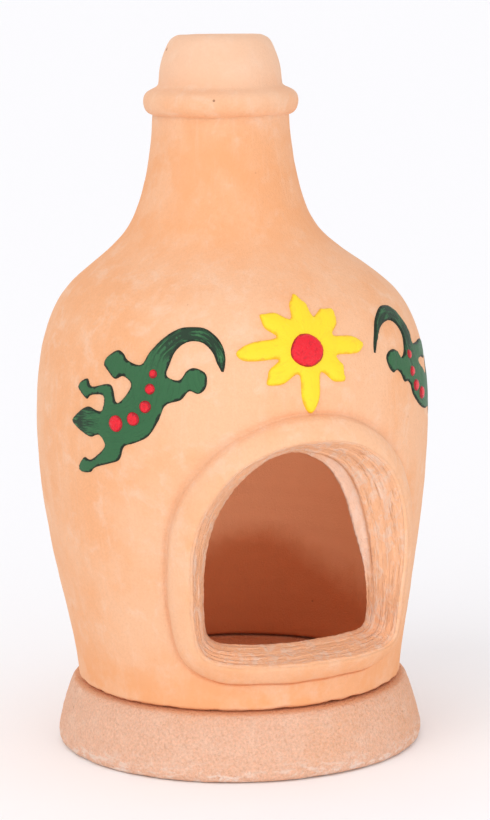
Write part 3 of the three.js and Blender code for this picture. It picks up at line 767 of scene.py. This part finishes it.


# brushed paint: streaks along the stroke, and a darker edge that is partly dark paint and partly painted shade
# along the raised edge
def buildBrushedPaint():
    group, given, result = startGroup("brushedPaint", [
        ("Brush", "Vector", None), ("Vector", "Vector", None), ("Edge", "Float", 1.0),
        ("Body", "Color", (1, 1, 1, 1)), ("Dark", "Color", (0, 0, 0, 1)), ("Light", "Color", (1, 1, 1, 1)),
        ("Edge Width", "Float", 0.5), ("Streaks", "Float", 0.3), ("Shade", "Float", 0.0),
        ("Edge Offset", "Float", -0.3)], [("Color", "Color"), ("Height", "Float")])
    streak = noiseAt(group, given["Brush"], 1.0, 5, 0.65, 0.5)
    cloud = noiseAt(group, given["Vector"], 0.6, 4, 0.6)
    spread = plus(group, given["Streaks"], given["Shade"])
    lowered = minus(group, streak, times(group, given["Shade"], 0.13))
    colour = layOver(group, given["Body"], given["Dark"], ramp(group, lowered, 0.46, 0.36),
                     calc(group, "MINIMUM", spread, 0.85))
    colour = layOver(group, colour, given["Light"], ramp(group, streak, 0.62, 0.72),
                     calc(group, "MINIMUM", spread, 0.9))
    # the dark edge: partly dark paint outline, partly painted shade where the relief's edge turns down
    wander = plus(group, times(group, cloud, 2.0), given["Edge Offset"])
    reach = calc(group, "DIVIDE", minus(group, given["Edge"], wander), given["Edge Width"])
    rim = minus(group, 1.0, ramp(group, reach, 0.0, 1.0))
    group.links.new(layOver(group, colour, given["Dark"], rim), result["Color"])
    group.links.new(plus(group, streak, times(group, cloud, 0.5)), result["Height"])
    return group


firedTone, sandGrain = buildFiredTone(), buildSandGrain()
paleScuff, brushedPaint = buildPaleScuff(), buildBrushedPaint()


def useGroup(tree, group, inputs):
    return addNode(tree, "ShaderNodeGroup", inputs, node_tree=group).outputs


def startMaterial(name, roughness, specular):
    material = bpy.data.materials.new(name)
    material.use_nodes = True
    tree = material.node_tree
    shader = tree.nodes["Principled BSDF"]
    shader.inputs["Roughness"].default_value = roughness
    shader.inputs["Specular IOR Level"].default_value = specular
    place3d = addNode(tree, "ShaderNodeTexCoord").outputs["Object"]
    inMm = addNode(tree, "ShaderNodeVectorMath", {0: place3d, "Scale": 1000.0}, operation="SCALE").outputs[0]
    return material, tree, shader, inMm


def addBump(tree, shader, height, strength, distance, normal=None):
    bump = addNode(tree, "ShaderNodeBump", {"Height": height, "Strength": strength, "Distance": distance})
    if normal is not None:
        tree.links.new(normal, bump.inputs["Normal"])
    tree.links.new(bump.outputs[0], shader.inputs["Normal"])
    return bump.outputs[0]


def readAttribute(tree, name, output="Fac"):
    return addNode(tree, "ShaderNodeAttribute", attribute_name=name).outputs[output]


def clayTone(tree, inMm, finish, blushAmount, bloomAmount, speckle):
    return useGroup(tree, firedTone, {"Vector": inMm, "Body": finish["body"], "Blush": finish["blush"],
                                      "Bloom": finish["bloom"], "Blush Amount": blushAmount,
                                      "Bloom Amount": bloomAmount, "Speckle": speckle})["Color"]


# heights and the painted-shade arch in mm; deep is the colour of that painted shade
potFinish = dict(
    body=rgb(238, 185, 146), blush=rgb(236, 168, 118), bloom=rgb(240, 206, 180), inside=rgb(246, 186, 142),
    deep=rgb(214, 134, 88), dust=rgb(248, 218, 198), pitShade=rgb(120, 70, 44), ledge=rgb(242, 204, 184),
    # crease is the colour of painted shade in creases, steps and scrape hollows
    crease=rgb(200, 134, 96), reveal=rgb(254, 192, 148),
    neckWarm=((120, 135), (160, 150)), footWarm=(38, 18), topPaintedLight=(158, 172),
    shadeArchPlace=(17.0, 0.0, 18.0), shadeArchSize=(27.0, 28.0),
    looseStroke=(1.3, 1.3, 1.0), looseGrain=(0.05, 0.05, 0.05),
)


def makePotMaterial():
    finish = potFinish
    material, tree, shader, inMm = startMaterial("terracottaClay", 0.86, 0.25)
    tone = clayTone(tree, inMm, finish, 0.7, 0.42, 0.24)
    high = heightOf(tree, inMm)
    neck = times(tree, *(ramp(tree, high, low, top) for low, top in finish["neckWarm"]))
    warm = calc(tree, "MAXIMUM", neck, times(tree, ramp(tree, high, *finish["footWarm"]), 1.3))
    patchy = ramp(tree, noiseAt(tree, inMm, 0.09, 4, 0.6), 0.42, 0.58)
    colour = layOver(tree, tone, finish["blush"], warm, plus(tree, times(tree, patchy, 0.55), 0.25))
    # painted highlight: the collar and stub are paler where light falls on the top
    colour = layOver(tree, colour, finish["bloom"], ramp(tree, high, *finish["topPaintedLight"]), 0.5)
    marks = useGroup(tree, paleScuff, {"Vector": inMm, "Stretch": (0.3, 0.3, 0.04), "Low": 0.48,
                                       "High": 0.75})
    colour = layOver(tree, colour, finish["bloom"], marks["Mask"], 0.18)
    # painted shade: the back wall is darker in a low arch above the hearth, standing in for the shade inside
    # the chamber
    fromArch = vectorCalc(tree, "SUBTRACT", inMm, finish["shadeArchPlace"])
    archWide, archHigh = finish["shadeArchSize"]
    archShare = vectorCalc(tree, "MULTIPLY", fromArch, (1 / archWide, 0, 1 / archHigh))
    arch = vectorCalc(tree, "LENGTH", archShare, result="Value")
    archShade = minus(tree, arch, times(tree, noiseAt(tree, inMm, 0.08, 4, 0.6), 0.3))
    wall = mixColour(tree, ramp(tree, archShade, 0.98, 0.6), finish["inside"], finish["deep"])
    colour = layOver(tree, colour, wall, ramp(tree, readAttribute(tree, "depth"), 0.7, 1.0))
    # the mouth's cut face: dust, scraped streaks and grooves with painted shade in their hollows, the flat
    # ledge, and painted shade at the step beside it and along the band's outer crease
    cut = readAttribute(tree, "cutFace")
    colour = layOver(tree, colour, finish["reveal"], cut)
    dust = useGroup(tree, paleScuff, {"Vector": inMm, "Stretch": (0.4, 0.3, 0.2), "Low": 0.45, "High": 0.64})
    colour = layOver(tree, colour, finish["dust"], dust["Mask"], cut, 0.6)
    stroke = vectorCalc(tree, "MULTIPLY", readAttribute(tree, "stroke", "Vector"), finish["looseStroke"])
    loose = vectorCalc(tree, "ADD", stroke, vectorCalc(tree, "MULTIPLY", inMm, finish["looseGrain"]))
    scrape = noiseAt(tree, loose, 1.0, 6, 0.62, 1.1)
    colour = layOver(tree, colour, finish["dust"], ramp(tree, scrape, 0.54, 0.68), cut, 0.5)
    # painted shade in the hollows of the scraping
    colour = layOver(tree, colour, finish["crease"], ramp(tree, scrape, 0.42, 0.33), cut, 0.5)
    colour = layOver(tree, colour, finish["ledge"], readAttribute(tree, "ledge"), 0.6)
    # painted shade at the ledge's step and along the band's outer crease
    step = times(tree, readAttribute(tree, "step"), plus(tree, scrape, 0.2))
    colour = layOver(tree, colour, finish["crease"], step)
    grain = useGroup(tree, sandGrain, {"Vector": inMm, "Grain Scale": 2.2, "Pit Scale": 0.09,
                                       "Pit Size": 0.035})
    # painted shade in the pin-holes
    colour = layOver(tree, colour, finish["pitShade"], grain["Pits"], 0.25)
    # painted shade in the listed pits
    dents = []
    for degrees, z, reach, size in potShape["pits"]:
        turn = math.radians(degrees)
        middle = (reach * math.sin(turn) + float(leanAt(z)), -reach * math.cos(turn), z)
        away = vectorCalc(tree, "DISTANCE", inMm, middle, result="Value")
        dent = ramp(tree, away, size, size * 0.5)
        dents.append(calc(tree, "MAXIMUM", dents[-1], dent) if dents else dent)
    colour = layOver(tree, colour, finish["pitShade"], dents[-1], 0.7)
    tree.links.new(colour, shader.inputs["Base Color"])
    tree.links.new(calc(tree, "MULTIPLY_ADD", grain["Height"], 0.12, 0.78), shader.inputs["Roughness"])
    first = addBump(tree, shader, grain["Height"], 0.35, 0.0004)
    second = addBump(tree, shader, marks["Height"], 0.25, 0.0008, first)
    strong = times(tree, plus(tree, dust["Height"], times(tree, scrape, 1.5)), cut)
    addBump(tree, shader, minus(tree, strong, step), 0.7, 0.0012, second)
    return material


baseFinish = dict(body=rgb(240, 187, 156), blush=rgb(238, 174, 132), bloom=rgb(246, 206, 181),
                  dust=rgb(250, 228, 214), pitShade=rgb(150, 100, 78), top=rgb(230, 158, 110))


def makeBaseMaterial():
    finish = baseFinish
    material, tree, shader, inMm = startMaterial("sandyClay", 0.92, 0.2)
    tone = clayTone(tree, inMm, finish, 0.5, 0.6, 0.8)
    grain = useGroup(tree, sandGrain, {"Vector": inMm, "Grain Scale": 1.25, "Pit Scale": 0.16,
                                       "Pit Size": 0.05})
    high = heightOf(tree, inMm)
    colour = layOver(tree, tone, finish["bloom"], ramp(tree, grain["Height"], 0.45, 0.95), 0.4)
    scuff = useGroup(tree, paleScuff, {"Vector": inMm, "Stretch": (0.25, 0.25, 0.6), "Low": 0.47,
                                       "High": 0.62})
    colour = layOver(tree, colour, finish["dust"], ramp(tree, high, 7, 0.5), scuff["Mask"], 0.8)
    # painted shade: the base's top edge is darker orange along the join under the pot
    colour = layOver(tree, colour, finish["top"], ramp(tree, high, 15.7, 16.5), 0.7)
    # painted shade in the pin-holes
    colour = layOver(tree, colour, finish["pitShade"], grain["Pits"], 0.3)
    tree.links.new(colour, shader.inputs["Base Color"])
    addBump(tree, shader, grain["Height"], 1.0, 0.0009)
    return material


paintFinish = dict(
    greenPaint=dict(body=rgb(44, 98, 58), dark=rgb(10, 34, 16), light=rgb(110, 160, 92), roughness=0.5,
                    bump=0.45, edgeWidth=0.25, edgeOffset=-0.66, streaks=0.15),
    yellowPaint=dict(body=rgb(250, 212, 38), dark=rgb(238, 188, 44), light=rgb(255, 228, 96), roughness=0.55,
                     bump=0.35, edgeWidth=0.4, edgeOffset=-0.9, streaks=0.3),
    redPaint=dict(body=rgb(228, 20, 40), dark=rgb(170, 10, 30), light=rgb(238, 60, 66), roughness=0.3,
                  bump=0.7, edgeWidth=0.35, edgeOffset=-0.75, streaks=0.4),
)


def makePaintMaterial(name):
    finish = paintFinish[name]
    material, tree, shader, inMm = startMaterial(name, finish["roughness"], 0.35)
    paint = useGroup(tree, brushedPaint, {
        "Brush": readAttribute(tree, "brush", "Vector"), "Vector": inMm, "Edge": readAttribute(tree, "edge"),
        "Body": finish["body"], "Dark": finish["dark"], "Light": finish["light"],
        "Edge Width": finish["edgeWidth"], "Edge Offset": finish["edgeOffset"], "Streaks": finish["streaks"],
        "Shade": readAttribute(tree, "shade")})
    tree.links.new(paint["Color"], shader.inputs["Base Color"])
    addBump(tree, shader, paint["Height"], finish["bump"], 0.0005)
    return material


def coat(piece, material):
    piece.data.materials.clear()
    piece.data.materials.append(material)


greenPaint, yellowPaint, redPaint = (makePaintMaterial(name) for name in paintFinish)
coat(potClay, makePotMaterial())
coat(baseClay, makeBaseMaterial())
for piece in geckos:
    coat(piece, greenPaint)
for piece in redDots + [boss]:
    coat(piece, redPaint)
coat(sun, yellowPaint)
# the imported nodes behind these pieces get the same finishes
coatLike = dict(base_slab=baseClay, sun_rays=sun, sun_centre=boss,
                gecko_left=geckos[0], gecko_right=geckos[0])
for name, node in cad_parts.items():
    twin = coatLike.get(name, boss if "spot" in name else potClay)
    coat(node, twin.data.materials[0])
print("materials done")

# camera turned left of the mouth and a little above it: mm, degrees for the turn, radians for the rest
view = dict(distance=687.0, height=197.8, pitch=0.1631, yaw=0.0032, roll=-0.0114, turn=-22.4, lens=119.7)


def makeCamera():
    turn = Matrix.Rotation(math.radians(view["turn"]), 3, "Z")
    ahead = Vector((math.sin(view["yaw"]), math.cos(view["yaw"]), 0))
    side = Vector((math.cos(view["yaw"]), -math.sin(view["yaw"]), 0))
    forward = ahead * math.cos(view["pitch"]) - Vector((0, 0, math.sin(view["pitch"])))
    up = Vector((0, 0, math.cos(view["pitch"]))) + ahead * math.sin(view["pitch"])
    c, s = math.cos(view["roll"]), math.sin(view["roll"])
    right, up = side * c + up * s, up * c - side * s
    place3d = turn @ Vector((0, -view["distance"], view["height"])) * mm
    data = bpy.data.cameras.new("camera")
    data.lens, data.sensor_width = view["lens"], 36
    data.clip_start, data.clip_end = 0.01, 20
    camera = addObject("camera", data)
    axes = Matrix((turn @ right, turn @ up, turn @ -forward)).transposed()
    camera.matrix_world = Matrix.Translation(place3d) @ axes.to_4x4()
    bpy.context.scene.camera = camera


makeCamera()

studio = dict(floorSize=40.0, world=(0.985, 0.98, 1.0), worldStrength=0.87, lightAim=(0, 0, 0.09),
              lights=[("key", (-0.55, -0.75, 0.75), 50.0, 0.74, (1.0, 0.985, 0.97)),
                      ("fill", (0.75, -0.85, 0.35), 60.0, 0.12, (1.0, 0.985, 1.0))],
              lamps=[("low panel", (0.0, -0.30, 0.004), (0.0, 0.03, 0.08), 0.25, 0.33, (1.0, 0.98, 0.97)),
                     ("chamber lamp", (0.0, -0.016, 0.1), (0.0, 0.044, 0.06), 0.04, 0.0085,
                      (1.0, 0.97, 0.95))])


def addLight(kind, name, spot, aim, power, tint):
    data = bpy.data.lights.new(name, kind)
    data.energy, data.color = power, tint
    light = addObject(name, data)
    light.location = spot
    light.rotation_euler = (Vector(aim) - light.location).to_track_quat("-Z", "Y").to_euler()
    return light


def makeStudio():
    size = studio["floorSize"]
    points = [(-size, -size, 0), (size, -size, 0), (size, size, 0), (-size, size, 0)]
    floor = makeMesh("floor", np.array(points) / mm, [[0, 1, 2, 3]], smooth=False)
    material = bpy.data.materials.new("paleFloor")
    material.use_nodes = True
    shader = material.node_tree.nodes["Principled BSDF"]
    shader.inputs["Base Color"].default_value = (0.98, 0.98, 0.99, 1)
    shader.inputs["Roughness"].default_value = 0.9
    shader.inputs["Specular IOR Level"].default_value = 0.1
    coat(floor, material)
    turn = Matrix.Rotation(math.radians(view["turn"]), 3, "Z")
    for name, spot, spread, power, tint in studio["lights"]:
        light = addLight("SUN", name, turn @ Vector(spot), studio["lightAim"], power, tint)
        light.data.angle = math.radians(spread)
    for name, spot, aim, size, power, tint in studio["lamps"]:
        light = addLight("AREA", name, Vector(spot), aim, power, tint)
        light.data.size = size
        light.visible_camera = False
    world = bpy.data.worlds.new("world")
    bpy.context.scene.world = world
    world.use_nodes = True
    world.node_tree.nodes["Background"].inputs[0].default_value = (*studio["world"], 1)
    world.node_tree.nodes["Background"].inputs[1].default_value = studio["worldStrength"]
    bpy.context.scene.view_settings.view_transform = "Standard"


makeStudio()
print("camera and lights done")
